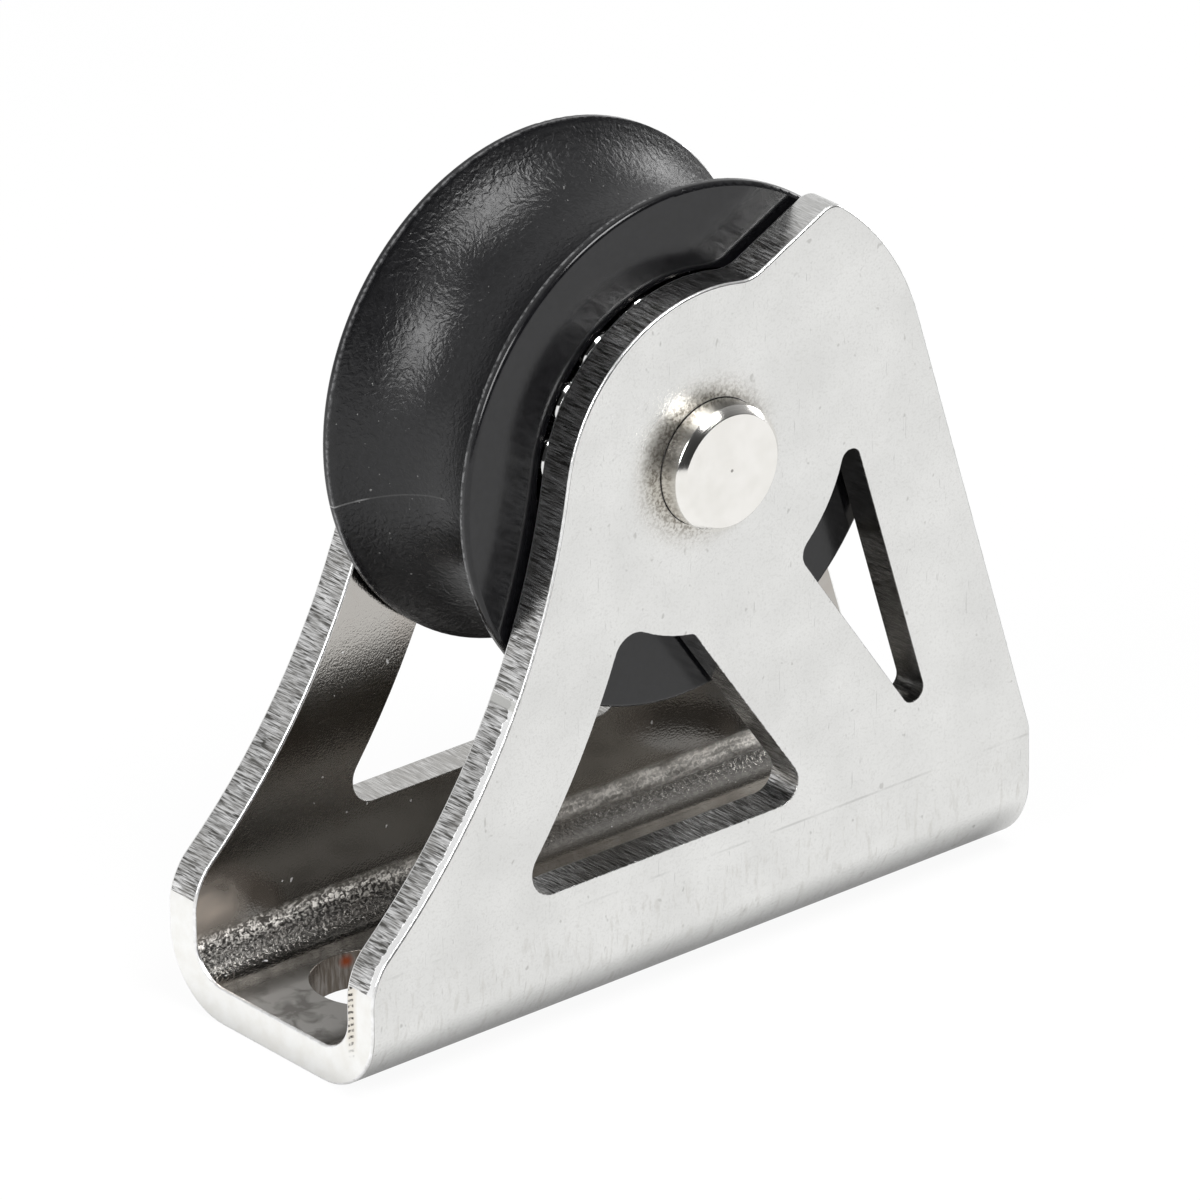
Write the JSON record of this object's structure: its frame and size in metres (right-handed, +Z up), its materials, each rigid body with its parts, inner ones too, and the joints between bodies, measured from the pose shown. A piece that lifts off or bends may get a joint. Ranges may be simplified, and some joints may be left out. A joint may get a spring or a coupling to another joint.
{
  "type": "stand-up block",
  "caption": "Upright deck block: a grooved sheave on loose balls, held by a pin between the two windowed cheeks of a bent sheet channel.",
  "frame": {"origin": "on the underside of the floor, halfway between the two fixing holes", "axes": "+X along the channel towards the upright rear edge, +Y along the pin, +Z up from the deck"},
  "size_m": [0.063, 0.0278, 0.0614],
  "materials": {
    "stainless_sheet": "satin rolled sheet, laser-cut edges",
    "polished_stainless": "turned and polished",
    "turned_stainless": "turned",
    "steel_balls": "polished balls",
    "black_acetal": "turned side faces, finely wrinkled groove"
  },
  "bodies": {
    "frame": {"channel_frame": "stainless_sheet", "axle_pin": "polished_stainless", "bearing_hub": "turned_stainless"},
    "sheave": {"sheave": "black_acetal"},
    "near_ball_row": {"near_ball_01": "steel_balls", "near_ball_02": "steel_balls", "near_ball_03": "steel_balls", "near_ball_04": "steel_balls", "near_ball_05": "steel_balls", "near_ball_06": "steel_balls", "near_ball_07": "steel_balls", "near_ball_08": "steel_balls", "near_ball_09": "steel_balls", "near_ball_10": "steel_balls", "near_ball_11": "steel_balls", "near_ball_12": "steel_balls", "near_ball_13": "steel_balls", "near_ball_14": "steel_balls", "near_ball_15": "steel_balls", "near_ball_16": "steel_balls", "near_ball_17": "steel_balls"},
    "far_ball_row": {"far_ball_01": "steel_balls", "far_ball_02": "steel_balls", "far_ball_03": "steel_balls", "far_ball_04": "steel_balls", "far_ball_05": "steel_balls", "far_ball_06": "steel_balls", "far_ball_07": "steel_balls", "far_ball_08": "steel_balls", "far_ball_09": "steel_balls", "far_ball_10": "steel_balls", "far_ball_11": "steel_balls", "far_ball_12": "steel_balls", "far_ball_13": "steel_balls", "far_ball_14": "steel_balls", "far_ball_15": "steel_balls", "far_ball_16": "steel_balls", "far_ball_17": "steel_balls"}
  },
  "joints": [
    {"name": "sheave_spin", "type": "hinge", "parent": "frame", "child": "sheave", "pos_m": [0.00075, 0, 0.0414], "axis": [0, 1, 0], "continuous": true},
    {"name": "near_balls_roll", "type": "hinge", "parent": "frame", "child": "near_ball_row", "pos_m": [0.00075, 0, 0.0414], "axis": [0, 1, 0], "continuous": true},
    {"name": "far_balls_roll", "type": "hinge", "parent": "frame", "child": "far_ball_row", "pos_m": [0.00075, 0, 0.0414], "axis": [0, 1, 0], "continuous": true}
  ],
  "couplings": [
    {"joint": "near_balls_roll", "follows": "sheave_spin", "ratio": 0.58772},
    {"joint": "far_balls_roll", "follows": "sheave_spin", "ratio": 0.58772}
  ]
}
